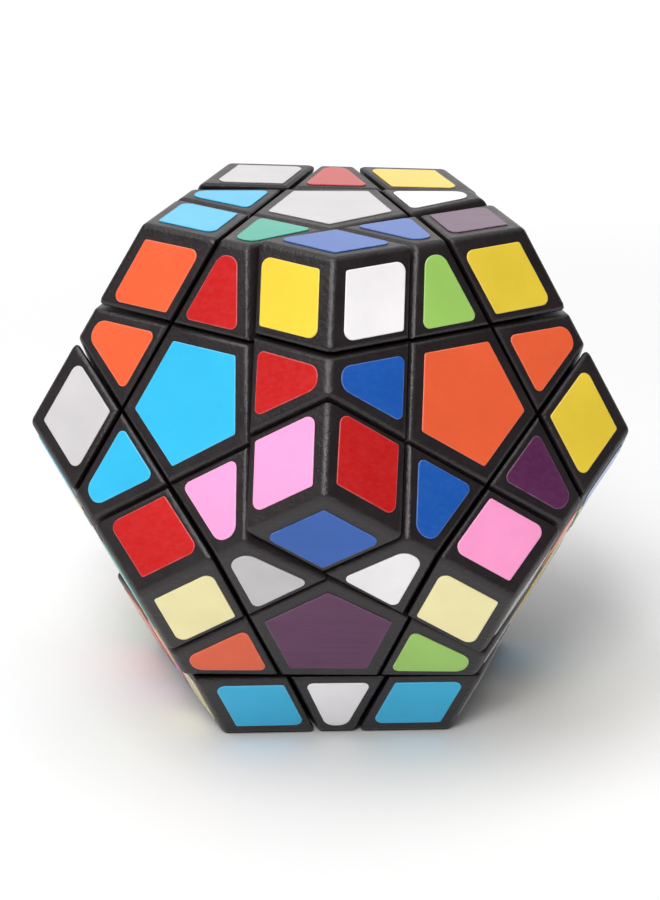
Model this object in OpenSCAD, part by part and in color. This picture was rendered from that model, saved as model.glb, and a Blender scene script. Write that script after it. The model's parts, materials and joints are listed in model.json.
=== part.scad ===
// Twelve-faced twisty puzzle: a regular dodecahedron cut one layer deep under every face.
// Z is up. The puzzle stands on its bottom face and the origin is the middle of the core.
// A vertex of the top face points along -Y, so one lower face looks straight along -Y.

/* [Puzzle] */
// Side of each five-sided face
edge_length = 33; // [28:0.5:45]
// Distance from a face's side to the groove along it, as a share of the side
cut_share = 0.40; // [0.38:0.005:0.42]
// Gap between neighbouring pieces
piece_gap = 0.4; // [0.3:0.05:0.5]
// Depth of the bevel on the pieces' sharp edges, which lie along the grooves
groove_bevel = 0.95; // [0.4:0.05:1]
// Depth of the bevel on their blunt edges, on the other side of the grooves
lip_bevel = 0.2; // [0.1:0.05:0.4]
// Depth of the bevel along the puzzle's outer edges
rim_bevel = 0.25; // [0.15:0.05:0.5]

/* [Stickers] */
// Thickness of the sticker film
sticker_thickness = 0.15; // [0.1:0.05:0.4]
// Distance kept between a sticker and the groove beside it
sticker_margin = 1.6; // [1.2:0.1:2.2]
// Distance kept between a sticker and the puzzle's outer edges
sticker_rim = 2.05; // [1.5:0.05:3]
// Radius of the blunt corners of centre and corner stickers
sticker_blunt = 0.45; // [0.2:0.05:0.8]
// Radius of the two sharp corners of a corner piece's sticker
sticker_sharp = 1.2; // [0.6:0.1:2]
// Radius of the two inner corners of an edge piece's sticker
sticker_heel = 0.9; // [0.4:0.1:1.4]
// Radius of the two outer corners of an edge piece's sticker
sticker_nose = 1.9; // [1:0.1:2]

/* [Layers] */
// How far the upper front right layer stands out of line, in degrees
front_right_slip = -2.3; // [-3:0.1:3]
// How far the upper back layer stands out of line, in degrees
back_slip = 2; // [-3:0.1:3]
// How far the bottom layer stands out of line, in degrees
bottom_slip = -2.6; // [-3:0.1:3]

/* [Mechanism] */
// How far the feet reach past the groove under the next piece
foot_reach = 3.9; // [3:0.1:4.5]
// Travel of each sprung centre, pulled straight out
centre_lift = 0.5; // [0.2:0.1:0.5]
// Diameter of the screw that holds each centre
screw_diameter = 3; // [2.5:0.1:3.4]
// Wire thickness of the tension springs
spring_wire = 0.7; // [0.4:0.1:0.9]

/* [Hidden] */
$fn = 64;
sides = 5;
side_turn = 360 / sides;
grow = edge_length / 33; // the inner parts are drawn for a side of 33

// How far one shape reaches into another, and how far a cut runs past what it cuts
small = 0.05;
over = 1;

// The dodecahedron: angle between neighbouring face normals, and its main distances
face_angle = acos(1 / sqrt(5));
face_apothem = edge_length / (2 * tan(180 / sides));
face_height = edge_length * sqrt(250 + 110 * sqrt(5)) / 20;

// Size of the blocks that planes are cut from
big = 3 * edge_length;

// Each layer is cut off by a plane outside the slide ball and a deeper plane inside it
groove_inset = cut_share * edge_length;
half_gap = piece_gap / 2;
cut_height = face_height - groove_inset * sin(face_angle);
foot_height = cut_height - foot_reach;
slide_radius = 34 * grow;
hollow_radius = 28 * grow;

// An edge piece's rim is bevelled a little deeper; a corner's tip is cut back by so many bevels
edge_rim_share = 1.3;
tip_share = 2.2;

// Stickers of each kind sit these few tenths further in or out than the margins say
centre_extra = 0.3;
edge_extra = 0.2;
nose_reach = 0.25;

// Straight pieces that a sticker's rounded corner is drawn with
arc_steps = 4;

// The core and the stack of parts along each face's axis, as heights above the middle
ball_radius = 13 * grow;
arm_radius = 4.6 * grow;
arm_height = foot_height + half_gap - small;
thread_depth = 9 * grow;
thread_slack = 0.02;
tip_room = 1;
screw_radius = screw_diameter / 2;
screw_clearance = 0.08;
floor_height = 26.4 * grow;
washer_height = 31 * grow;
washer_thickness = 0.6;
washer_radius = 3.5 * grow;
spring_turns = floor((washer_height - floor_height - centre_lift) / spring_wire);
head_radius = 2.9 * grow;
head_thickness = 1.9 * grow;
slot_width = 0.8;
slot_depth = 1;
pocket_radius = 4 * grow;
spring_radius = 3 * grow;
cap_height = 34.65 * grow;
plug_length = 0.6;
plug_clearance = 0.06;

// Face list: name, tilt of the normal from +Z, its direction in plan, and the turn that puts
// the face's first neighbour on the local +X side
FACES = [
    ["top", 0, 0, -54],
    ["upper_front_right", face_angle, -54, 180],
    ["upper_right", face_angle, 18, 180],
    ["upper_back", face_angle, 90, 180],
    ["upper_left", face_angle, 162, 180],
    ["upper_front_left", face_angle, 234, 180],
    ["lower_front", 180 - face_angle, -90, 0],
    ["lower_right", 180 - face_angle, -18, 0],
    ["lower_back_right", 180 - face_angle, 54, 0],
    ["lower_back_left", 180 - face_angle, 126, 0],
    ["lower_left", 180 - face_angle, 198, 0],
    ["bottom", 180, 0, 270],
];
TOP = 0;
UPPER_FRONT_RIGHT = 1;
UPPER_BACK = 3;
LOWER_FRONT = 6;
BOTTOM = 11;

// The three faces whose whole layers turn, and their slips; none shares a piece with another
LAYERS = [UPPER_FRONT_RIGHT, UPPER_BACK, BOTTOM];
SLIPS = [front_right_slip, back_slip, bottom_slip];

// Sticker colours of each face as one letter each: the centre, then the edge piece toward
// neighbour 0, the corner piece after it, the edge piece toward neighbour 1, and so on
SCRAMBLE = [
    "GBPWYRGLLEB",
    "ONWBRBKPYOY",
    "NYONNLKLPGN",
    "KKOLYPKWREN",
    "CEKPWYRRCGP",
    "LROOGLRKKRY",
    "PWLNCWBGCOL",
    "YWLGNCBOGGG",
    "BNPCRYWOBCP",
    "RCNNWBBPCEW",
    "EKCYEPLCEKO",
    "WREBGKEYEEO",
];
PAINTS = [
    ["W", "White"],
    ["G", "LightGray"],
    ["Y", "Gold"],
    ["C", "LemonChiffon"],
    ["O", "OrangeRed"],
    ["R", "Crimson"],
    ["K", "Pink"],
    ["P", "Indigo"],
    ["B", "RoyalBlue"],
    ["L", "DeepSkyBlue"],
    ["N", "YellowGreen"],
    ["E", "SeaGreen"],
];

function face_name(f) = FACES[f][0];
function upper(k) = 1 + (k + 10) % 5;
function lower(k) = 6 + (k + 10) % 5;

// Neighbour j of face f, counted counter-clockwise as seen from outside
function neighbour(f, j) =
    f == TOP ? upper(j % 5)
    : f == BOTTOM ? lower(-(j % 5))
    : f < LOWER_FRONT ? [TOP, upper(f - 2), lower(f - 1), lower(f), upper(f)][j % 5]
    : [BOTTOM, lower(f - 5), upper(f - 6), upper(f - 7), lower(f - 7)][j % 5];

function in_layer(f) = len(search(f, LAYERS)) > 0;
function slip(f) = in_layer(f) ? SLIPS[search(f, LAYERS)[0]] : 0;

// Places off the turning layers, each listed once as [face, neighbour number]
FIXED_EDGES = [
    for (f = [0:BOTTOM])
        for (j = [0:sides - 1])
            if (!in_layer(f) && !in_layer(neighbour(f, j)) && f < neighbour(f, j))
                [f, j]
];
FIXED_CORNERS = [
    for (f = [0:BOTTOM])
        for (j = [0:sides - 1])
            let (g = neighbour(f, j), h = neighbour(f, j + 1))
                if (!in_layer(f) && !in_layer(g) && !in_layer(h) && f < g && f < h)
                    [f, j]
];

// Colour name for a sticker letter
function paint(letter) = [for (p = PAINTS) if (p[0] == letter) p[1]][0];

// Unit normal of the local face and of its neighbour j
UP = [0, 0, 1];
function side_normal(j) = [
    sin(face_angle) * cos(side_turn * j),
    sin(face_angle) * sin(side_turn * j),
    cos(face_angle)
];

AROUND = [for (j = [0:sides - 1]) side_normal(j)];

// A plane is [outward normal, distance]; a bevel plane cuts the edge where two of them meet
function bevel(p, q, depth) = [
    (p[0] + q[0]) / norm(p[0] + q[0]),
    (p[1] + q[1]) / norm(p[0] + q[0]) - depth
];
function bevels(tops, walls, depth) = [for (t = tops) for (w = walls) bevel(t, w, depth)];

// The planes that keep only what lies above a height over each of the given faces
function above(normals, height) = [for (n = normals) [-n, -height - half_gap]];
function below(normals, height) = [for (n = normals) [n, height - half_gap]];

// Point of the face's plane at distance s inside side i and t inside side i + 1
function between_sides(i, s, t) =
    let (
        u = face_apothem - s,
        v = face_apothem - t,
        x = u,
        y = (v - u * cos(side_turn)) / sin(side_turn)
    )
    [
        x * cos(side_turn * i) - y * sin(side_turn * i),
        x * sin(side_turn * i) + y * cos(side_turn * i)
    ];

// A convex outline with each corner replaced by a short arc of its own radius
function arc_points(before, at, after, radius, steps) =
    let (
        u = (before - at) / norm(before - at),
        v = (after - at) / norm(after - at),
        half = acos(u * v) / 2,
        middle = at + (u + v) / norm(u + v) * radius / sin(half),
        start = at + u * radius / tan(half) - middle,
        sweep = 180 - 2 * half
    )
    [
        for (k = [0:steps])
            let (a = sweep * k / steps)
                middle + [
                    start[0] * cos(a) - start[1] * sin(a),
                    start[0] * sin(a) + start[1] * cos(a)
                ]
    ];
function rounded(points, radii, steps) =
    let (n = len(points))
    [
        for (i = [0:n - 1])
            for (p = arc_points(points[(i + n - 1) % n], points[i], points[(i + 1) % n], radii[i], steps))
                p
    ];

// ---- helpers ----

// Puts a child made on the local +Z face onto face f
module on_face(f) {
    rotate([0, FACES[f][1], FACES[f][2]])
        rotate([0, 0, FACES[f][3]])
            children();
}

// Puts a child at place j of face f: place 0 is the one toward neighbour 0
module at_place(f, j) {
    on_face(f)
        rotate([0, 0, side_turn * j])
            children();
}

// Turns the parts of a turning layer out of line, about the axis of its face
module slipped(f) {
    tilt = FACES[f][1];
    plan = FACES[f][2];
    rotate(a = slip(f), v = [sin(tilt) * cos(plan), sin(tilt) * sin(plan), cos(tilt)])
        children();
}

// The space on the inner side of every plane in the list
module inside(planes) {
    intersection_for(p = planes)
        rotate([0, acos(p[0][2]), atan2(p[0][1], p[0][0])])
            translate([-big, -big, p[1] - 2 * big])
                cube(2 * big);
}

// The layer of the feet: the space between the hollow middle and the slide ball
module foot_shell() {
    difference() {
        sphere(slide_radius - half_gap);
        sphere(hollow_radius);
    }
}

// ---- the three kinds of piece, each made at its place on the +Z face ----

// Corner: three visible facets, and a foot that reaches under the three edge pieces
module corner_piece() {
    own = [UP, side_normal(0), side_normal(1)];
    tops = [for (n = own) [n, face_height]];
    walls = above(own, cut_height);
    rims = [for (k = [0:2]) bevel(tops[k], tops[(k + 1) % 3], rim_bevel)];
    grooves = [for (k = [0:2]) for (m = [1:2]) bevel(tops[k], walls[(k + m) % 3], groove_bevel)];
    outward = (own[0] + own[1] + own[2]) / norm(own[0] + own[1] + own[2]);
    tip = [[outward, face_height / (outward * UP) - tip_share * rim_bevel]];
    union() {
        inside(concat(tops, walls, rims, grooves, tip));
        intersection() {
            inside(above(own, foot_height));
            foot_shell();
        }
    }
}

// Edge: two visible facets, and a foot that reaches under the two centres
module edge_piece() {
    own = [UP, side_normal(0)];
    ends = [side_normal(-1), side_normal(1)];
    tops = [for (n = own) [n, face_height]];
    walls = above(own, cut_height);
    caps = below(ends, cut_height);
    rim = [bevel(tops[0], tops[1], edge_rim_share * rim_bevel)];
    grooves = [for (k = [0:1]) bevel(tops[k], walls[1 - k], groove_bevel)];
    union() {
        difference() {
            inside(concat(tops, walls, caps, rim, grooves, bevels(tops, caps, lip_bevel)));
            sphere(slide_radius + half_gap);
        }
        intersection() {
            inside(concat(walls, below(ends, foot_height)));
            sphere(slide_radius + over);
        }
        intersection() {
            inside(concat(above(own, foot_height), below(ends, foot_height)));
            foot_shell();
        }
    }
}

// Centre base: the lower half of a centre's plate on the column that holds screw and spring
module centre_base(f) {
    lid = [[UP, cap_height]];
    plate = concat(lid, above([UP], cut_height), below(AROUND, cut_height));
    column = concat(lid, above([UP], foot_height), below(AROUND, foot_height));
    color("#17181a")
        on_face(f)
            difference() {
                union() {
                    difference() {
                        inside(plate);
                        sphere(slide_radius + half_gap);
                    }
                    inside(column);
                }
                cylinder(h = cap_height, r = screw_radius + screw_clearance);
                translate([0, 0, floor_height])
                    cylinder(h = face_height, r = pocket_radius);
            }
}

// Centre cap: the plate that carries the sticker, with a plug that presses into the base
module centre_cap(f) {
    top = [[UP, face_height]];
    walls = below(AROUND, cut_height);
    color("#121315")
        on_face(f)
            union() {
                inside(concat(top, [[-UP, -cap_height]], walls, bevels(top, walls, lip_bevel)));
                translate([0, 0, cap_height - plug_length])
                    cylinder(h = plug_length + small, r = pocket_radius - plug_clearance);
            }
}

// ---- stickers: thin prisms with rounded outlines ----

module film(points, radii) {
    translate([0, 0, face_height])
        linear_extrude(height = sticker_thickness)
            polygon(rounded(points, radii, arc_steps));
}

// Five-sided sticker of a centre
module centre_film() {
    inset = groove_inset + sticker_margin + centre_extra;
    film([for (j = [0:sides - 1]) between_sides(j, inset, inset)], [for (j = [1:sides]) sticker_blunt]);
}

// Kite sticker of a corner piece, between the sides toward neighbours 0 and 1
module corner_film() {
    near = groove_inset - sticker_margin;
    film(
        [
            between_sides(0, sticker_rim, sticker_rim),
            between_sides(0, near, sticker_rim),
            between_sides(0, near, near),
            between_sides(0, sticker_rim, near)
        ],
        [sticker_blunt, sticker_sharp, sticker_blunt, sticker_sharp]
    );
}

// Pick-shaped sticker of an edge piece, along the side toward neighbour 0
module edge_film() {
    near = groove_inset - sticker_margin + edge_extra;
    far = groove_inset + sticker_margin;
    nose = sticker_rim - nose_reach;
    film(
        [
            between_sides(0, nose, far),
            between_sides(0, near, far),
            between_sides(-1, far, near),
            between_sides(-1, far, nose)
        ],
        [sticker_nose, sticker_heel, sticker_heel, sticker_nose]
    );
}

module centre_sticker(f) {
    color(paint(SCRAMBLE[f][0]))
        on_face(f)
            centre_film();
}

// All stickers of one corner piece, given the face and place it is counted from
module corner_sticker_set(f, j) {
    g = neighbour(f, j);
    h = neighbour(f, j + 1);
    for (side = [[f, g], [g, h], [h, f]])
        for (k = [0:sides - 1])
            if (neighbour(side[0], k) == side[1])
                color(paint(SCRAMBLE[side[0]][2 + 2 * k]))
                    at_place(side[0], k)
                        corner_film();
}

// Both stickers of one edge piece
module edge_sticker_set(f, j) {
    g = neighbour(f, j);
    for (side = [[f, g], [g, f]])
        for (k = [0:sides - 1])
            if (neighbour(side[0], k) == side[1])
                color(paint(SCRAMBLE[side[0]][1 + 2 * k]))
                    at_place(side[0], k)
                        edge_film();
}

// ---- inner parts ----

// Core: a ball with twelve threaded arms, one under each face
module core_spider() {
    color("#8b8f94")
        difference() {
            union() {
                sphere(ball_radius);
                for (f = [0:BOTTOM])
                    on_face(f)
                        cylinder(h = arm_height, r = arm_radius);
            }
            for (f = [0:BOTTOM])
                on_face(f)
                    translate([0, 0, thread_depth])
                        cylinder(h = arm_height, r = screw_radius + thread_slack);
        }
}

// Screws: slotted pan heads, standing in the arms of the core
module centre_screws() {
    head_height = washer_height + washer_thickness;
    slot_height = head_height + head_thickness - slot_depth;
    color("#b9bcc0")
        for (f = [0:BOTTOM])
            on_face(f)
                difference() {
                    union() {
                        translate([0, 0, thread_depth + tip_room])
                            cylinder(h = head_height + small - thread_depth - tip_room, r = screw_radius);
                        translate([0, 0, head_height])
                            cylinder(h = head_thickness, r = head_radius);
                    }
                    translate([-head_radius - over, -slot_width / 2, slot_height])
                        cube([2 * (head_radius + over), slot_width, slot_depth + over]);
                }
}

// Washers between the screw heads and the springs
module spring_washers() {
    color("#d0d2d4")
        for (f = [0:BOTTOM])
            on_face(f)
                translate([0, 0, washer_height])
                    difference() {
                        cylinder(h = washer_thickness, r = washer_radius);
                        translate([0, 0, -over])
                            cylinder(h = washer_thickness + 2 * over, r = screw_radius + screw_clearance);
                    }
}

// Springs: each coil drawn as a sleeve with one rib for every turn
module tension_springs() {
    length = washer_height - floor_height;
    pitch = length / spring_turns;
    steps = 2 * spring_turns;
    rib = [for (k = [0:steps]) k % 2 == 1 ? spring_wire / 2 : spring_wire / 5];
    color("#9a9da1")
        for (f = [0:BOTTOM])
            on_face(f)
                translate([0, 0, floor_height])
                    rotate_extrude()
                        polygon(concat(
                            [for (k = [0:steps]) [spring_radius + rib[k], k * pitch / 2]],
                            [for (k = [steps:-1:0]) [spring_radius - rib[k], k * pitch / 2]]
                        ));
}

// ---- groups: pieces that ride one body, given as [face, place] pairs ----

PLACES = [for (j = [0:sides - 1]) j];
function around(f) = [for (j = PLACES) [f, j]];

module corners(places) {
    color("#141517")
        for (p = places)
            at_place(p[0], p[1])
                corner_piece();
}

module edges(places) {
    color("#141517")
        for (p = places)
            at_place(p[0], p[1])
                edge_piece();
}

module corner_stickers(places) {
    for (p = places)
        corner_sticker_set(p[0], p[1]);
}

module edge_stickers(places) {
    for (p = places)
        edge_sticker_set(p[0], p[1]);
}

// ---- nodes ----

core_spider();
centre_screws();
spring_washers();
tension_springs();

for (f = [0:BOTTOM]) {
    slipped(f) centre_base(f);
    slipped(f) centre_cap(f);
    slipped(f) centre_sticker(f);
}

for (f = LAYERS) {
    slipped(f) corners(around(f));
    slipped(f) edges(around(f));
    slipped(f) corner_stickers(around(f));
    slipped(f) edge_stickers(around(f));
}

corners(FIXED_CORNERS);  // corners_fixed
edges(FIXED_EDGES);  // edges_fixed
corner_stickers(FIXED_CORNERS);  // corner_stickers_fixed
edge_stickers(FIXED_EDGES);  // edge_stickers_fixed
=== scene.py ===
"""The look of the twelve-faced twisty puzzle: moulded pieces, stickers, light and camera.

Everything is in metres in the CAD's frame. Pieces are made once each, at their place on the
local +Z face, and turned to their other places.
"""

import json
import math
import random
from itertools import combinations

import bmesh
import bpy
from mathutils import Matrix, Vector


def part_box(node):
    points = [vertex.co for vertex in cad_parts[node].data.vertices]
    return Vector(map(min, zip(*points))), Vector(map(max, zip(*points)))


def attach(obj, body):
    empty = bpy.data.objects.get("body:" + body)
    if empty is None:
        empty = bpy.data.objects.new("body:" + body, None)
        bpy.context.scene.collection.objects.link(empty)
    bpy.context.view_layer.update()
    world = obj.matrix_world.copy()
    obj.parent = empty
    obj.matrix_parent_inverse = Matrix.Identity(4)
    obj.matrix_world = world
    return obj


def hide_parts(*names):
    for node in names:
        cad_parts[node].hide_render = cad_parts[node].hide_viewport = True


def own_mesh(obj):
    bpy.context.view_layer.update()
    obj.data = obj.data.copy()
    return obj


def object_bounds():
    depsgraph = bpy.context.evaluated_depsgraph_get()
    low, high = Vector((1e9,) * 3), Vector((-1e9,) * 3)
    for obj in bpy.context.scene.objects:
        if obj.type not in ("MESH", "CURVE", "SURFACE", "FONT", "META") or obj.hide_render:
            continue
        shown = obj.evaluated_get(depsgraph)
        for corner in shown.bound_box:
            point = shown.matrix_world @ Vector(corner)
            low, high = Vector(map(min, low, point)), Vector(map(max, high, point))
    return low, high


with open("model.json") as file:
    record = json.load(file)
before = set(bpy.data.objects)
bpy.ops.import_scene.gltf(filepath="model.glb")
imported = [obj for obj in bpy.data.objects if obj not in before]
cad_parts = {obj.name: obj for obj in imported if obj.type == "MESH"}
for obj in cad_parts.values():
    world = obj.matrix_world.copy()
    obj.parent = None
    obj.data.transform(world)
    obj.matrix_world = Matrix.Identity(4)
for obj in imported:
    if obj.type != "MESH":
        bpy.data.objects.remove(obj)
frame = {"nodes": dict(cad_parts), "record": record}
cad_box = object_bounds()

# ---- sizes: three are read off the CAD's nodes, and the others repeat part.scad's rules ----

MM = 0.001
FACE_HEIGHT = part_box("centre_cap_top")[1].z
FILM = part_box("centre_sticker_top")[1].z - FACE_HEIGHT
CAP_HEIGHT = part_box("centre_base_top")[1].z

SIDES = 5
TURN = math.radians(360 / SIDES)
FACE_ANGLE = math.acos(1 / math.sqrt(5))
EDGE = 20 * FACE_HEIGHT / math.sqrt(250 + 110 * math.sqrt(5))
APOTHEM = EDGE / (2 * math.tan(math.pi / SIDES))
GROOVE = 0.40 * EDGE
HALF_GAP = 0.2 * MM
CUT_HEIGHT = FACE_HEIGHT - GROOVE * math.sin(FACE_ANGLE)
FOOT_REACH = 3.9 * MM
FOOT_HEIGHT = CUT_HEIGHT - FOOT_REACH
SLIDE_RADIUS = 34 * MM
HOLLOW_RADIUS = 28 * MM
PLUG_RADIUS = 3.94 * MM
PLUG_LENGTH = 0.6 * MM
PLUG_TAPER = 0.2 * MM
# The neck between an edge piece's foot and its plate ends inside the plate, at this height
NECK_HEIGHT = SLIDE_RADIUS * 0.98

# The spring a centre lifts against: its ends along the screw, and its coil
SPRING_SPAN = (26.4 * MM, 31 * MM)
SPRING_RADIUS = 3 * MM
WIRE_RADIUS = 0.35 * MM
SPRING_TURNS = 5.5
# The share of the turns that lies flat at each end
FLAT_SHARE = 0.12

# How far the rounding runs in from an edge: sharp and blunt edges along the grooves, and rims
SHARP_ROUND = 1.1 * MM
BLUNT_ROUND = 0.5 * MM
RIM_ROUND = 0.75 * MM
EDGE_RIM_ROUND = RIM_ROUND * 1.3
ROUND_STEPS = 4
# Surfaces that meet more sharply than this keep a hard edge
CREASE = math.radians(35)

# Sticker outlines: distances from the grooves and from a face's sides
STICKER_MARGIN = 1.6 * MM
CENTRE_MARGIN = STICKER_MARGIN + 0.3 * MM
HEEL_MARGIN = STICKER_MARGIN - 0.2 * MM
STICKER_RIM = 2.05 * MM
NOSE_RIM = 1.8 * MM
# Their corner radii
BLUNT = 0.45 * MM
SHARP = 1.2 * MM
HEEL = 0.9 * MM
NOSE = 1.9 * MM
# How far out of place a hand lays them, as standard deviations
LAID_ASIDE = 0.1
LAID_TWISTED = 0.4

# Limits below which directions count as parallel and points as one point, or as on a plane
PARALLEL = 1e-6
SAME_POINT = 1e-7
ON_PLANE = 1e-8
# Normals whose cosine is above this count as the same
SAME_WAY = 0.999

# The floor's radius, and the distances between which its painted glow rises, so that it fades into the white
# surroundings
FLOOR_RADIUS = 0.85
FLOOR_GLOW_SPAN = (0.15, 0.75)

UP = Vector((0, 0, 1))

# ---- faces and places: f, g and h are numbers of faces, and j is a place round a face ----

# Name, step of tilt from the top face, heading in plan and turn about the face's own axis
FACES = [
    ("top", 0, 0, -54),
    ("upper_front_right", 1, -54, 180),
    ("upper_right", 1, 18, 180),
    ("upper_back", 1, 90, 180),
    ("upper_left", 1, 162, 180),
    ("upper_front_left", 1, 234, 180),
    ("lower_front", 2, -90, 0),
    ("lower_right", 2, -18, 0),
    ("lower_back_right", 2, 54, 0),
    ("lower_back_left", 2, 126, 0),
    ("lower_left", 2, 198, 0),
    ("bottom", 3, 0, 270),
]
TILTS = [0, FACE_ANGLE, math.pi - FACE_ANGLE, math.pi]

# The layers that turn, and how far each stands out of line, in degrees
LAYERS = {"upper_front_right": -2.3, "upper_back": 2.0, "bottom": -2.6}

# One row for each face and one letter for each sticker: the centre, then edge and corner in turn
SCRAMBLE = [
    "GBPWYRGLLEB",
    "ONWBRBKPYOY",
    "NYONNLKLPGN",
    "KKOLYPKWREN",
    "CEKPWYRRCGP",
    "LROOGLRKKRY",
    "PWLNCWBGCOL",
    "YWLGNCBOGGG",
    "BNPCRYWOBCP",
    "RCNNWBBPCEW",
    "EKCYEPLCEKO",
    "WREBGKEYEEO",
]
PAINTS = {
    "W": "white",
    "G": "grey",
    "Y": "yellow",
    "C": "cream",
    "O": "orange",
    "R": "red",
    "K": "pink",
    "P": "purple",
    "B": "blue",
    "L": "light_blue",
    "N": "lime",
    "E": "green",
}


def face_name(f):
    return FACES[f][0]


def place(f, j=0):
    """The turn that takes something from the local +Z face to place j of face f."""
    _, tilt, plan, spin = FACES[f]
    return (
        Matrix.Rotation(math.radians(plan), 4, "Z")
        @ Matrix.Rotation(TILTS[tilt], 4, "Y")
        @ Matrix.Rotation(math.radians(spin) + TURN * j, 4, "Z")
    )


def standing(faces, j=0):
    """Place j of the first face, for a piece that shows on these faces; its layer may slip."""
    where = place(faces[0], j)
    for f in faces:
        if face_name(f) in LAYERS:
            slip = math.radians(LAYERS[face_name(f)])
            return Matrix.Rotation(slip, 4, place(f) @ UP) @ where
    return where


def side_normal(j):
    """Outward normal of neighbour j, as seen from the local +Z face."""
    flat = Vector((math.cos(TURN * j), math.sin(TURN * j), 0))
    return flat * math.sin(FACE_ANGLE) + UP * math.cos(FACE_ANGLE)


def neighbour(f, j):
    """The face that lies past side j of face f."""
    outward = place(f, j) @ side_normal(0)
    return max(range(len(FACES)), key=lambda g: (place(g) @ UP).dot(outward))


def body_for(faces):
    """The CAD body of the piece that shows on these faces."""
    names = [face_name(f) for f in faces if face_name(f) in LAYERS]
    return names[0] + "_layer" if names else "core"


def group_for(faces):
    """The ending of the CAD group node that holds that piece."""
    return body_for(faces).removesuffix("_layer").replace("core", "fixed")


# ---- meshes ----


def new_object(name, data):
    """An object in the scene, for a mesh, a curve, a light or a camera."""
    made = bpy.data.objects.new(name, data)
    bpy.context.scene.collection.objects.link(made)
    return made


def applied(source):
    """A mesh with the object's modifiers applied; the object is removed."""
    bpy.context.view_layer.update()
    graph = bpy.context.evaluated_depsgraph_get()
    mesh = bpy.data.meshes.new_from_object(source.evaluated_get(graph))
    bpy.data.objects.remove(source)
    return mesh


def corners_of(planes):
    """The corner points of the space inside every plane (outward normal, distance)."""
    points = []
    for trio in combinations(planes, 3):
        rows = Matrix([normal for normal, _ in trio])
        if abs(rows.determinant()) < PARALLEL:
            continue
        point = rows.inverted() @ Vector([distance for _, distance in trio])
        inside = all(point.dot(n) < d + ON_PLANE for n, d in planes)
        if inside and all((point - other).length > SAME_POINT for other in points):
            points.append(point)
    return points


def convex_mesh(name, planes, roundings=()):
    """A solid inside the planes. roundings lists (normals, normals, how far to round).

    An edge between a face with one of the first normals and a face with one of the second gets
    a bevel weight, which rounded_solid turns into the rounding.
    """
    shape = bmesh.new()
    for point in corners_of(planes):
        shape.verts.new(point)
    bmesh.ops.convex_hull(shape, input=shape.verts)
    bmesh.ops.dissolve_limit(shape, angle_limit=0.01, verts=shape.verts, edges=shape.edges)
    bmesh.ops.recalc_face_normals(shape, faces=shape.faces)
    weight = shape.edges.layers.float.new("bevel_weight_edge")
    widest = max((width for _, _, width in roundings), default=0)
    for side in shape.edges:
        first, second = (face.normal for face in side.link_faces)
        for some, others, width in roundings:
            straight = among(first, some) and among(second, others)
            crossed = among(second, some) and among(first, others)
            if straight or crossed:
                side[weight] = width / widest
    mesh = bpy.data.meshes.new(name)
    shape.to_mesh(mesh)
    shape.free()
    return mesh


def among(normal, normals):
    """Whether a normal is one of these."""
    return any(normal.dot(n) > SAME_WAY for n in normals)


def rounded_solid(name, planes, roundings):
    """An object for the solid inside the planes, with a modifier that rounds its visible edges."""
    solid = new_object(name, convex_mesh(name, planes, roundings))
    soften = solid.modifiers.new("rounded edges", "BEVEL")
    soften.limit_method = "WEIGHT"
    soften.offset_type = "OFFSET"
    soften.width = max(width for _, _, width in roundings)
    soften.segments = ROUND_STEPS
    soften.material = 1
    return solid


def ball(radius):
    """A ball round the middle of the puzzle."""
    shape = bmesh.new()
    bmesh.ops.create_uvsphere(shape, u_segments=96, v_segments=48, radius=radius)
    mesh = bpy.data.meshes.new("ball")
    shape.to_mesh(mesh)
    shape.free()
    return new_object("ball", mesh)


def cut(solid, radius, operation):
    """The mesh of a solid's part outside (DIFFERENCE) or inside (INTERSECT) a ball."""
    tool = ball(radius)
    step = solid.modifiers.new("ball", "BOOLEAN")
    step.operation = operation
    step.object = tool
    mesh = applied(solid)
    bpy.data.objects.remove(tool)
    return mesh


def foot_mesh(name, planes):
    """The foot of a piece: what lies inside the planes, between the hollow and the slide ball."""
    # The block's outer planes lie past the slide ball, which gives it its round top
    outward = (UP, side_normal(0), side_normal(1), side_normal(-1))
    bounds = [(normal, SLIDE_RADIUS * 1.2) for normal in outward]
    block = new_object(name, convex_mesh(name, planes + bounds))
    outer = cut(block, SLIDE_RADIUS - HALF_GAP, "INTERSECT")
    return cut(new_object(name, outer), HOLLOW_RADIUS, "DIFFERENCE")


def joined(name, meshes):
    """One mesh from several, with flat faces kept flat and roundings smooth."""
    shape = bmesh.new()
    for mesh in meshes:
        shape.from_mesh(mesh)
    bmesh.ops.remove_doubles(shape, verts=shape.verts, dist=SAME_POINT)
    for face in shape.faces:
        face.smooth = True
    for side in shape.edges:
        side.smooth = len(side.link_faces) == 2 and side.calc_face_angle(0) < CREASE
    whole = bpy.data.meshes.new(name)
    shape.to_mesh(whole)
    shape.free()
    holder = new_object(name, whole)
    even = holder.modifiers.new("flat faces", "WEIGHTED_NORMAL")
    even.keep_sharp = True
    return applied(holder)


def above(normals, height):
    """Planes that keep what is above this height under each face, and half a gap away."""
    return [(-n, -height - HALF_GAP) for n in normals]


def below(normals, height):
    """Planes that keep what is below this height under each face, and half a gap away."""
    return [(n, height - HALF_GAP) for n in normals]


def flipped(normals):
    return [-n for n in normals]


def corner_mesh():
    """Corner piece: three facets and a foot under the three edge pieces."""
    own = [UP, side_normal(0), side_normal(1)]
    planes = [(n, FACE_HEIGHT) for n in own] + above(own, CUT_HEIGHT)
    roundings = [(own, own, RIM_ROUND), (own, flipped(own), SHARP_ROUND)]
    plate = applied(rounded_solid("corner", planes, roundings))
    return joined("corner", [plate, foot_mesh("foot", above(own, FOOT_HEIGHT))])


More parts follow.
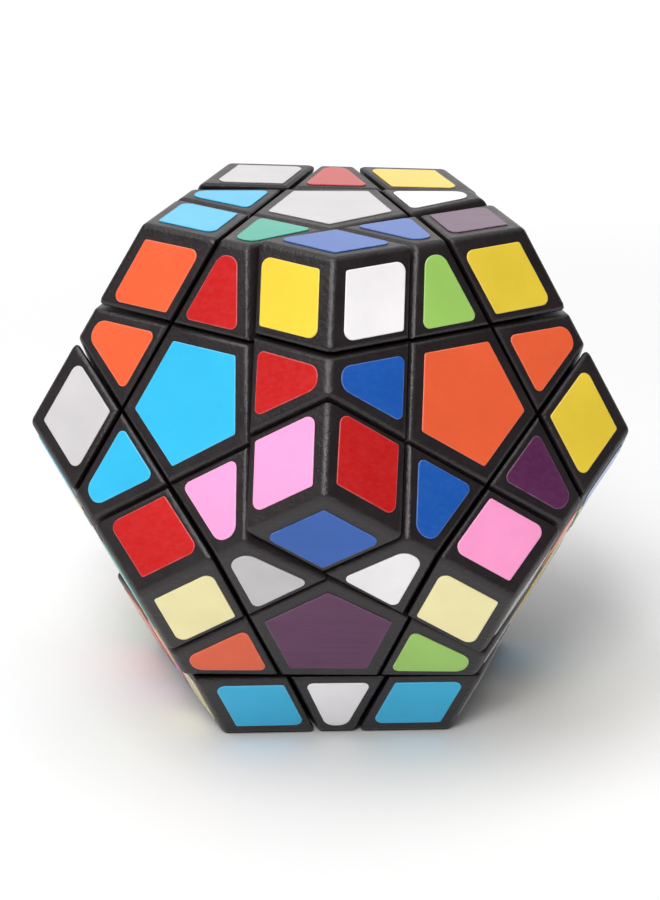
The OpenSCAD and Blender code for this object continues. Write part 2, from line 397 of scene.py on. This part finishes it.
def edge_mesh():
    """Edge piece: two facets and a foot under the two centres."""
    own = [UP, side_normal(0)]
    ends = [side_normal(-1), side_normal(1)]
    tops = [(n, FACE_HEIGHT) for n in own]
    walls = above(own, CUT_HEIGHT)
    roundings = [
        (own, own, EDGE_RIM_ROUND),
        (own, flipped(own), SHARP_ROUND),
        (own, ends, BLUNT_ROUND),
    ]
    plate = rounded_solid("edge", tops + walls + below(ends, CUT_HEIGHT), roundings)
    plate = cut(plate, SLIDE_RADIUS + HALF_GAP, "DIFFERENCE")
    neck = [(n, NECK_HEIGHT) for n in own] + walls + below(ends, FOOT_HEIGHT)
    foot = foot_mesh("foot", above(own, FOOT_HEIGHT) + below(ends, FOOT_HEIGHT))
    return joined("edge", [plate, convex_mesh("neck", neck), foot])


def cap_mesh():
    """Centre cap: the plate that carries the sticker, and the plug under it."""
    around = [side_normal(j) for j in range(SIDES)]
    planes = [(UP, FACE_HEIGHT), (-UP, -CAP_HEIGHT)] + below(around, CUT_HEIGHT)
    plate = applied(rounded_solid("cap", planes, [([UP], around, BLUNT_ROUND)]))
    shape = bmesh.new()
    bmesh.ops.create_cone(
        shape,
        cap_ends=True,
        segments=48,
        radius1=PLUG_RADIUS - PLUG_TAPER,
        radius2=PLUG_RADIUS,
        depth=PLUG_LENGTH,
        matrix=Matrix.Translation(UP * (CAP_HEIGHT - PLUG_LENGTH / 2)),
    )
    plug = bpy.data.meshes.new("plug")
    shape.to_mesh(plug)
    shape.free()
    return joined("cap", [plate, plug])


# ---- stickers ----


def between_sides(i, s, t):
    """The point of the face at distance s inside side i and t inside side i + 1."""
    u, v = APOTHEM - s, APOTHEM - t
    point = Vector((u, (v - u * math.cos(TURN)) / math.sin(TURN)))
    return Matrix.Rotation(TURN * i, 2) @ point


def rounded_outline(points, radii, steps=7):
    """An anticlockwise convex outline, with each corner replaced by an arc of its own radius."""
    outline = []
    for i, at in enumerate(points):
        before = (points[i - 1] - at).normalized()
        after = (points[(i + 1) % len(points)] - at).normalized()
        half = before.angle(after) / 2
        middle = at + (before + after).normalized() * radii[i] / math.sin(half)
        start = at + before * radii[i] / math.tan(half) - middle
        for k in range(steps + 1):
            turn = Matrix.Rotation((math.pi - 2 * half) * k / steps, 2)
            outline.append(middle + turn @ start)
    return outline


def shrunk(outline, by):
    """The outline moved inwards, for the rounded lip of the film."""
    moved = []
    for i, at in enumerate(outline):
        along = (outline[(i + 1) % len(outline)] - outline[i - 1]).normalized()
        moved.append(at + Vector((-along.y, along.x)) * by)
    return moved


def film_mesh(name, outline):
    """A thin film with a softened lip. The lip's rings of faces have the second material."""
    # How far inwards and upwards each ring of the lip is, as shares of the film's thickness
    rings = [(0, 0), (0, 0.6), (0.35, 0.9), (1, 1)]
    shape = bmesh.new()
    loops = []
    for inward, upward in rings:
        height = FACE_HEIGHT + FILM * upward
        loops.append([shape.verts.new((*p, height)) for p in shrunk(outline, FILM * inward)])
    for lower, upper in zip(loops, loops[1:]):
        for i in range(len(outline)):
            j = (i + 1) % len(outline)
            face = shape.faces.new((lower[i], lower[j], upper[j], upper[i]))
            face.material_index = 1
            face.smooth = True
    shape.faces.new(loops[-1])
    shape.faces.new(list(reversed(loops[0])))
    mesh = bpy.data.meshes.new(name)
    shape.to_mesh(mesh)
    shape.free()
    return mesh


def film_outlines():
    """Outlines of the three kinds of sticker, each at place 0 of the local +Z face."""
    near, far = GROOVE - STICKER_MARGIN, GROOVE + STICKER_MARGIN
    inset = GROOVE + CENTRE_MARGIN
    wide = GROOVE - HEEL_MARGIN
    centre = [between_sides(j, inset, inset) for j in range(SIDES)]
    corner = [
        between_sides(0, STICKER_RIM, STICKER_RIM),
        between_sides(0, near, STICKER_RIM),
        between_sides(0, near, near),
        between_sides(0, STICKER_RIM, near),
    ]
    edge = [
        between_sides(0, NOSE_RIM, far),
        between_sides(0, wide, far),
        between_sides(-1, far, wide),
        between_sides(-1, far, NOSE_RIM),
    ]
    return {
        "centre": rounded_outline(*anticlockwise(centre, [BLUNT] * SIDES)),
        "corner": rounded_outline(*anticlockwise(corner, [BLUNT, SHARP, BLUNT, SHARP])),
        "edge": rounded_outline(*anticlockwise(edge, [NOSE, HEEL, HEEL, NOSE])),
    }


def anticlockwise(points, radii):
    """The corners anticlockwise, with their radii in step."""
    twice_area = sum(a.cross(b) for a, b in zip(points, points[1:] + points[:1]))
    return (points, radii) if twice_area > 0 else (points[::-1], radii[::-1])


# ---- materials ----

# How far apart the pieces can lie in the noise
NOISE_SPREAD = 40


def new_material(name):
    """A new material, its node tree and its shader."""
    made = bpy.data.materials.new(name)
    made.use_nodes = True
    return made, made.node_tree, made.node_tree.nodes["Principled BSDF"]


def noise(tree, scale, detail=3, roughness=0.5, stretch=(1, 1, 1)):
    """Noise in the piece's own coordinates, shifted from piece to piece."""
    where = tree.nodes.new("ShaderNodeTexCoord")
    stretched = tree.nodes.new("ShaderNodeVectorMath")
    stretched.operation = "MULTIPLY"
    stretched.inputs[1].default_value = stretch
    tree.links.new(where.outputs["Object"], stretched.inputs[0])
    piece = tree.nodes.new("ShaderNodeObjectInfo")
    shift = tree.nodes.new("ShaderNodeMath")
    shift.operation = "MULTIPLY"
    shift.inputs[1].default_value = NOISE_SPREAD
    tree.links.new(piece.outputs["Random"], shift.inputs[0])
    out = tree.nodes.new("ShaderNodeTexNoise")
    out.noise_dimensions = "4D"
    out.inputs["Scale"].default_value = scale
    out.inputs["Detail"].default_value = detail
    out.inputs["Roughness"].default_value = roughness
    tree.links.new(stretched.outputs["Vector"], out.inputs["Vector"])
    tree.links.new(shift.outputs[0], out.inputs["W"])
    return out.outputs["Fac"]


def spread_over(tree, value, low, high, span=(0.3, 0.7)):
    """Maps a span of noise values onto a range."""
    out = tree.nodes.new("ShaderNodeMapRange")
    out.inputs["From Min"].default_value, out.inputs["From Max"].default_value = span
    out.inputs["To Min"].default_value = low
    out.inputs["To Max"].default_value = high
    tree.links.new(value, out.inputs["Value"])
    return out.outputs["Result"]


def bump(tree, shader, layers):
    """Stacks bumps: (height value, strength, depth)."""
    normal = None
    for value, strength, depth in layers:
        out = tree.nodes.new("ShaderNodeBump")
        out.inputs["Strength"].default_value = strength
        out.inputs["Distance"].default_value = depth
        tree.links.new(value, out.inputs["Height"])
        if normal is not None:
            tree.links.new(normal, out.inputs["Normal"])
        normal = out.outputs["Normal"]
    tree.links.new(normal, shader.inputs["Normal"])


def tint(tree, value, dark, light):
    """A colour that drifts between two tones."""
    out = tree.nodes.new("ShaderNodeMix")
    out.data_type = "RGBA"
    out.inputs["A"].default_value = (*dark, 1)
    out.inputs["B"].default_value = (*light, 1)
    tree.links.new(value, out.inputs["Factor"])
    return out.outputs["Result"]


def faded(tree, colour, value, pale):
    """A colour that fades towards a paler one."""
    out = tree.nodes.new("ShaderNodeMix")
    out.data_type = "RGBA"
    out.inputs["B"].default_value = (*pale, 1)
    tree.links.new(colour, out.inputs["A"])
    tree.links.new(value, out.inputs["Factor"])
    return out.outputs["Result"]


def black_plastic(name, tone, roughness, texture, specular):
    """Moulded black plastic: a fine spark-eroded grain, slow ripples and handling marks."""
    material, tree, shader = new_material(name)
    shader.inputs["Specular IOR Level"].default_value = specular
    handled = noise(tree, scale=240, detail=5, roughness=0.65)
    dark = [c * 0.75 for c in tone]
    light = [c * 1.35 for c in tone]
    colour = tint(tree, spread_over(tree, handled, 0, 1), dark, light)
    tree.links.new(colour, shader.inputs["Base Color"])
    rubbed = spread_over(tree, handled, roughness - 0.06, roughness + 0.07)
    tree.links.new(rubbed, shader.inputs["Roughness"])
    grain = noise(tree, scale=4200, detail=2, roughness=0.6)
    mottle = noise(tree, scale=1700, detail=3, roughness=0.6)
    ripple = noise(tree, scale=110, detail=2)
    bumps = [
        (grain, 0.8, 0.05 * MM),
        (mottle, texture, 0.12 * MM),
        (ripple, 0.4, 0.4 * MM),
    ]
    bump(tree, shader, bumps)
    return material


def sticker_vinyl(name, colour):
    """Glossy coloured film: orange peel, slow waves, small blisters and faint rubbed streaks."""
    material, tree, shader = new_material(name)
    cloud = noise(tree, scale=120)
    dark = [c * 0.94 for c in colour]
    light = [min(1, c * 1.04 + 0.004) for c in colour]
    clean = tint(tree, spread_over(tree, cloud, 0, 1), dark, light)
    rubbed = noise(tree, scale=1800, detail=5, roughness=0.6, stretch=(0.06, 1, 1))
    pale = [c * 0.8 + 0.16 for c in colour]
    worn = faded(tree, clean, spread_over(tree, rubbed, 0, 0.06, (0.4, 0.7)), pale)
    tree.links.new(worn, shader.inputs["Base Color"])
    tree.links.new(spread_over(tree, rubbed, 0.14, 0.27), shader.inputs["Roughness"])
    peel = noise(tree, scale=1500, detail=2, roughness=0.4)
    wave = noise(tree, scale=140, detail=1)
    blister = spread_over(tree, noise(tree, scale=330, detail=2), 0, 1, (0.68, 0.82))
    bumps = [
        (peel, 0.15, 0.01 * MM),
        (wave, 0.2, 0.2 * MM),
        (blister, 0.5, 0.06 * MM),
    ]
    bump(tree, shader, bumps)
    return material


def sticker_lip(name, colour):
    """The cut edge of the film, paler than its face."""
    material, tree, shader = new_material(name)
    nick = noise(tree, scale=900, roughness=0.7)
    pale = [c * 0.85 + 0.09 for c in colour]
    tree.links.new(tint(tree, spread_over(tree, nick, 0, 1), colour, pale), shader.inputs["Base Color"])
    tree.links.new(spread_over(tree, nick, 0.3, 0.5), shader.inputs["Roughness"])
    return material


def bright_metal(name, colour, roughness):
    """Bright steel with a fine texture and a little tarnish."""
    material, tree, shader = new_material(name)
    shader.inputs["Metallic"].default_value = 1
    cloud = noise(tree, scale=400, detail=4)
    tarnished = [c * 0.8 for c in colour]
    tree.links.new(tint(tree, spread_over(tree, cloud, 0, 1), tarnished, colour), shader.inputs["Base Color"])
    dulled = spread_over(tree, cloud, roughness - 0.06, roughness + 0.1)
    tree.links.new(dulled, shader.inputs["Roughness"])
    bump(tree, shader, [(noise(tree, scale=6000, detail=2), 0.2, 0.01 * MM)])
    return material


def grey_nylon(name, colour):
    """The core's matt nylon."""
    material, tree, shader = new_material(name)
    cloud = noise(tree, scale=220, detail=4)
    darker = [c * 0.85 for c in colour]
    tree.links.new(tint(tree, spread_over(tree, cloud, 0, 1), darker, colour), shader.inputs["Base Color"])
    tree.links.new(spread_over(tree, cloud, 0.45, 0.6), shader.inputs["Roughness"])
    bump(tree, shader, [(noise(tree, scale=3000), 0.3, 0.03 * MM)])
    return material


def slot_colour(slot):
    """The base colour of one of the record's material slots."""
    for entry in frame["record"]["materials"]:
        if entry["slot"] == slot:
            return list(entry["base_color"][:3])
    raise KeyError(slot)


PLASTIC = black_plastic(
    "black_plastic", tone=(0.0110, 0.0072, 0.0080), roughness=0.36, texture=1.0, specular=0.5
)
# Handling polishes the rounded edges
PLASTIC_EDGE = black_plastic(
    "black_plastic_rounding", tone=(0.0120, 0.0080, 0.0088), roughness=0.12, texture=0.5, specular=1.0
)
FILMS = {
    letter: (
        sticker_vinyl("sticker_" + paint, slot_colour("sticker_" + paint)),
        sticker_lip("sticker_lip_" + paint, slot_colour("sticker_" + paint)),
    )
    for letter, paint in PAINTS.items()
}

# ---- placing the pieces ----


def put(name, mesh, where, body, node):
    """One piece at its place, riding a body and standing for a CAD node."""
    placed = mesh.copy()
    placed.transform(where)
    piece = new_object(name, placed)
    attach(piece, body)
    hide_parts(node)
    return piece


def mouldings():
    """The twelve caps, thirty edge pieces and twenty corner pieces."""
    cap, edge, corner = cap_mesh(), edge_mesh(), corner_mesh()
    for mesh in (cap, edge, corner):
        mesh.materials.clear()
        mesh.materials.append(PLASTIC)
        mesh.materials.append(PLASTIC_EDGE)
    for f in range(len(FACES)):
        name = face_name(f)
        put("cap_" + name, cap, standing([f]), "centre_" + name, "centre_cap_" + name)
        for j in range(SIDES):
            g, h = neighbour(f, j), neighbour(f, j + 1)
            pair, trio = [f, g], [f, g, h]
            if f < g:
                title = f"edge_{name}_{face_name(g)}"
                node = "edges_" + group_for(pair)
                put(title, edge, standing(pair, j), body_for(pair), node)
            if f < g and f < h:
                title = f"corner_{name}_{face_name(g)}_{face_name(h)}"
                node = "corners_" + group_for(trio)
                put(title, corner, standing(trio, j), body_for(trio), node)


def stickers():
    """All 132 stickers, each laid a little out of place."""
    hand = random.Random(12)
    outlines = film_outlines()
    meshes = {}

    def lay(kind, letter, name, where, body, node):
        if (kind, letter) not in meshes:
            mesh = film_mesh(f"film_{kind}_{PAINTS[letter]}", outlines[kind])
            for material in FILMS[letter]:
                mesh.materials.append(material)
            meshes[kind, letter] = mesh
        aside = (hand.gauss(0, LAID_ASIDE) * MM, hand.gauss(0, LAID_ASIDE) * MM, 0)
        shift = Matrix.Translation(aside)
        twist = Matrix.Rotation(math.radians(hand.gauss(0, LAID_TWISTED)), 4, "Z")
        put(name, meshes[kind, letter], where @ shift @ twist, body, node)

    for f in range(len(FACES)):
        name = face_name(f)
        letters = SCRAMBLE[f]
        title = f"sticker_{name}_centre"
        lay("centre", letters[0], title, standing([f]), "centre_" + name, "centre_sticker_" + name)
        for j in range(SIDES):
            g, h = neighbour(f, j), neighbour(f, j + 1)
            pair, trio = [f, g], [f, g, h]
            title = f"sticker_{name}_edge_{j + 1}"
            node = "edge_stickers_" + group_for(pair)
            lay("edge", letters[1 + 2 * j], title, standing(pair, j), body_for(pair), node)
            title = f"sticker_{name}_corner_{j + 1}"
            node = "corner_stickers_" + group_for(trio)
            lay("corner", letters[2 + 2 * j], title, standing(trio, j), body_for(trio), node)


def springs():
    """Twelve compression springs under the washers, as true coils."""
    seat, lid = SPRING_SPAN
    steps_per_turn = 24
    material = bright_metal("spring_steel", slot_colour("spring_steel"), 0.3)
    curve = bpy.data.curves.new("spring", "CURVE")
    curve.dimensions = "3D"
    curve.bevel_depth = WIRE_RADIUS
    curve.bevel_resolution = 3
    curve.use_fill_caps = True
    curve.materials.append(material)
    count = int(SPRING_TURNS * steps_per_turn)
    line = curve.splines.new("POLY")
    line.points.add(count)
    for k in range(count + 1):
        share = k / count
        rise = min(max((share - FLAT_SHARE) / (1 - 2 * FLAT_SHARE), 0), 1)
        height = seat + WIRE_RADIUS + (lid - seat - 2 * WIRE_RADIUS) * rise
        angle = 2 * math.pi * SPRING_TURNS * share
        line.points[k].co = (SPRING_RADIUS * math.cos(angle), SPRING_RADIUS * math.sin(angle), height, 1)
    coil = applied(new_object("spring", curve))
    for f in range(len(FACES)):
        name = face_name(f)
        spring = put("spring_" + name, coil, place(f), "core", "tension_springs")
        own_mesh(spring)


def carried_over():
    """Better materials for the CAD nodes that keep their own shape."""
    metal = {
        "centre_screws": bright_metal("screw_steel", slot_colour("screw_steel"), 0.28),
        "spring_washers": bright_metal("washer_steel", slot_colour("washer_steel"), 0.35),
        "core_spider": grey_nylon("core_plastic", slot_colour("core_plastic")),
    }
    for node, shown in frame["nodes"].items():
        if node.startswith("centre_base_"):
            material = PLASTIC
        elif node in metal:
            material = metal[node]
        else:
            continue
        shown.data.materials.clear()
        shown.data.materials.append(material)


# ---- floor, light and camera ----


def floor():
    """A plain pale floor with a painted glow that grows with distance, so it fades into the white
    surroundings.
    """
    ground = cad_box[0][2]
    shape = bmesh.new()
    bmesh.ops.create_circle(shape, cap_ends=True, segments=96, radius=FLOOR_RADIUS)
    bmesh.ops.translate(shape, verts=shape.verts, vec=(0, 0, ground))
    mesh = bpy.data.meshes.new("floor")
    shape.to_mesh(mesh)
    shape.free()
    disc = new_object("floor", mesh)
    material, tree, shader = new_material("floor")
    shader.inputs["Base Color"].default_value = (0.81, 0.81, 0.81, 1)
    shader.inputs["Roughness"].default_value = 0.7
    shader.inputs["Emission Color"].default_value = (1, 1, 1, 1)
    # Painted glow: the floor gives off more light the farther it lies from the middle
    where = tree.nodes.new("ShaderNodeTexCoord")
    away = tree.nodes.new("ShaderNodeVectorMath")
    away.operation = "LENGTH"
    glow_ramp = tree.nodes.new("ShaderNodeMapRange")
    glow_ramp.interpolation_type = "SMOOTHSTEP"
    glow_ramp.inputs["From Min"].default_value, glow_ramp.inputs["From Max"].default_value = FLOOR_GLOW_SPAN
    tree.links.new(where.outputs["Object"], away.inputs[0])
    tree.links.new(away.outputs["Value"], glow_ramp.inputs["Value"])
    tree.links.new(glow_ramp.outputs["Result"], shader.inputs["Emission Strength"])
    mesh.materials.append(material)


def toward(azimuth, elevation):
    """Direction from the puzzle; azimuth 0 is the camera's side and negative is to its left."""
    around, up = math.radians(azimuth), math.radians(elevation)
    return Vector((math.sin(around) * math.cos(up), -math.cos(around) * math.cos(up), math.sin(up)))


def softbox(name, azimuth, elevation, distance, size, brightness):
    """A rectangular soft light that faces the puzzle. Its power follows from its brightness."""
    lamp = bpy.data.lights.new(name, "AREA")
    lamp.shape = "RECTANGLE"
    lamp.size, lamp.size_y = size
    lamp.energy = brightness * math.pi * size[0] * size[1]
    box = new_object(name, lamp)
    box.location = toward(azimuth, elevation) * distance
    box.rotation_euler = toward(azimuth, elevation).to_track_quat("Z", "Y").to_euler()
    box.visible_camera = False


def studio():
    """White surroundings for the eye, but dim ones for the light, with five soft lights."""
    softbox("key", azimuth=-10, elevation=43, distance=1.1, size=(0.3, 0.3), brightness=20)
    softbox("high left", azimuth=-60, elevation=62, distance=1.2, size=(0.9, 0.9), brightness=3)
    softbox("overhead", azimuth=0, elevation=90, distance=1.8, size=(2.4, 2.4), brightness=1.1)
    softbox("left panel", azimuth=-75, elevation=23, distance=1.2, size=(1.4, 1.0), brightness=0.15)
    softbox("back panel", azimuth=180, elevation=21, distance=2.3, size=(3.0, 2.0), brightness=1.0)
    world = bpy.data.worlds.new("studio")
    world.use_nodes = True
    tree = world.node_tree
    seen = tree.nodes.new("ShaderNodeLightPath")
    strength = tree.nodes.new("ShaderNodeMapRange")
    strength.inputs["To Min"].default_value = 0.12
    strength.inputs["To Max"].default_value = 1
    tree.links.new(seen.outputs["Is Camera Ray"], strength.inputs["Value"])
    background = tree.nodes["Background"]
    background.inputs["Color"].default_value = (1, 1, 1, 1)
    tree.links.new(strength.outputs["Result"], background.inputs["Strength"])
    bpy.context.scene.world = world
    bpy.context.scene.view_settings.view_transform = "Standard"


def camera():
    """Straight at the front vertex from a little above, as the photograph sees it."""
    back = toward(azimuth=0.4, elevation=21.07)
    distance = 12.695 * EDGE
    aside, raised = -0.0036 * EDGE, -0.032 * EDGE
    right = UP.cross(back).normalized()
    over = back.cross(right)
    lens = bpy.data.cameras.new("camera")
    lens.sensor_fit = "VERTICAL"
    lens.sensor_height = 36
    lens.lens = 111.9
    lens.clip_start = 0.01
    view = new_object("camera", lens)
    turned = Matrix((right, over, back)).transposed().to_4x4()
    stand = back * distance + right * aside + over * raised
    view.matrix_world = Matrix.Translation(stand) @ turned
    bpy.context.scene.camera = view


mouldings()
stickers()
springs()
carried_over()
floor()
studio()
camera()
